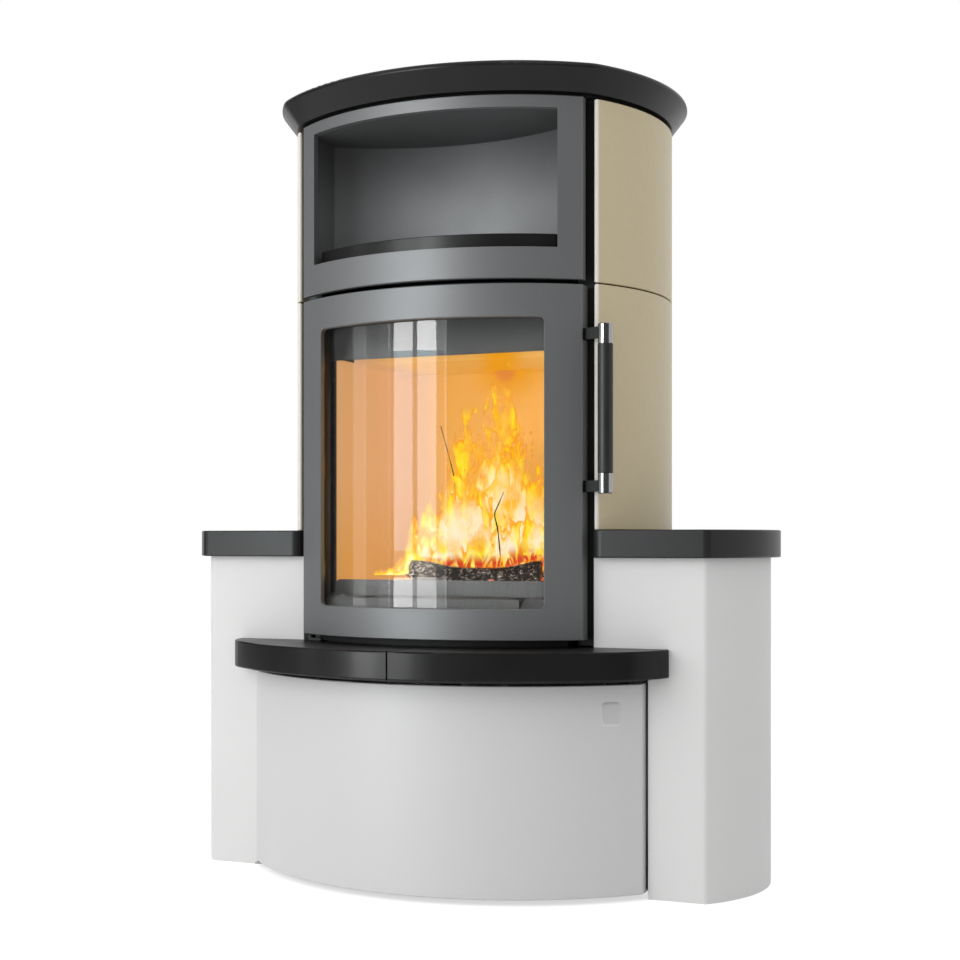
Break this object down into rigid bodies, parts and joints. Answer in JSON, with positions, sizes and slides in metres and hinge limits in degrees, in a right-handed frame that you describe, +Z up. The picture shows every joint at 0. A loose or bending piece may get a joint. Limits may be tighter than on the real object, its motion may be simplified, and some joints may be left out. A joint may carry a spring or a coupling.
{
  "type": "tiled stove",
  "caption": "Wood stove with a bowed glass door, cream tiled sides, open warming compartment, dark sills and white cast wings at both sides.",
  "frame": {"origin": "on the floor, below the middle of the whole stove", "axes": "+Z up, +Y to the back, +X to the right as seen from the front"},
  "size_m": [1.0536, 0.6026, 1.325],
  "materials": {
    "white_cast": "fine matt cast, white",
    "dark_ceramic": "satin glaze, near black",
    "slab_ceramic": "matt glaze, dark grey",
    "cream_tile": "satin cream glaze",
    "grey_steel": "fine metallic stove paint, graphite grey",
    "dark_sheet": "matt black stove paint",
    "cast_iron": "raw casting, black",
    "firebrick": "rough pressed vermiculite, sooted",
    "stove_glass": "clear ceramic glass",
    "seal_rope": "braided glass fibre",
    "bright_metal": "polished",
    "grip": "matt black",
    "zinc_sheet": "zinc coated sheet",
    "charred_wood": "charred bark"
  },
  "bodies": {
    "root": {"wing_left": "white_cast", "wing_right": "white_cast", "wing_slab_left": "slab_ceramic", "wing_slab_right": "slab_ceramic", "sill_left": "dark_ceramic", "sill_right": "dark_ceramic", "base_cabinet": "dark_sheet", "cabinet_feet": "zinc_sheet", "cabinet_top": "grey_steel", "base_door_pins": "zinc_sheet", "base_door_catch": "dark_sheet", "body_plinth": "dark_sheet", "casing_side_left": "zinc_sheet", "casing_side_right": "zinc_sheet", "side_strip_left": "dark_sheet", "side_strip_right": "dark_sheet", "back_panel": "dark_sheet", "tile_lower_left": "cream_tile", "tile_lower_right": "cream_tile", "tile_upper_left": "cream_tile", "tile_upper_right": "cream_tile", "tile_seals": "seal_rope", "top_spacer": "dark_sheet", "top_plate": "dark_ceramic", "upper_front_frame": "grey_steel", "recess_liner": "dark_sheet", "recess_shelf": "dark_ceramic", "front_frame": "cast_iron", "firebox_shell": "dark_sheet", "hearth_floor": "firebrick", "lining_back": "firebrick", "lining_side_left": "firebrick", "lining_side_right": "firebrick", "grate": "cast_iron", "ash_pan": "zinc_sheet", "log_guard": "dark_sheet", "air_wash_plate": "dark_sheet", "baffle_plate": "firebrick", "logs": "charred_wood", "smoke_box": "dark_sheet", "flue_collar": "dark_sheet", "air_box": "zinc_sheet", "air_inlet": "zinc_sheet", "hinge_bracket_lower": "cast_iron", "hinge_bracket_upper": "cast_iron", "latch_strikes": "cast_iron"},
    "fire_door": {"door_frame": "grey_steel", "door_glass": "stove_glass", "glass_gasket": "seal_rope", "glass_clips": "zinc_sheet", "door_rope_seal": "seal_rope"},
    "latch": {"latch_lever": "cast_iron", "handle_grip": "grip", "handle_caps": "bright_metal"},
    "base_door_body": {"base_door": "white_cast", "base_door_stiffener": "dark_sheet", "badge_plate": "zinc_sheet"},
    "air_control": {"air_slider": "zinc_sheet", "air_knob": "bright_metal"}
  },
  "joints": [
    {"name": "fire_door_hinge", "type": "hinge", "parent": "root", "child": "fire_door", "pos_m": [-0.243, -0.1007, 0.6935], "axis": [0, 0, -1], "range_deg": [0, 88]},
    {"name": "handle_turn", "type": "hinge", "parent": "fire_door", "child": "latch", "pos_m": [0.2485, -0.0947, 0.777], "axis": [0, 0, -1], "range_deg": [0, 25]},
    {"name": "base_door_hinge", "type": "hinge", "parent": "root", "child": "base_door_body", "pos_m": [-0.344, -0.1007, 0.176], "axis": [0, 0, -1], "range_deg": [0, 90]},
    {"name": "air_slide", "type": "slide", "parent": "root", "child": "air_control", "axis": [0, -1, 0], "range_m": [0, 0.05]}
  ]
}
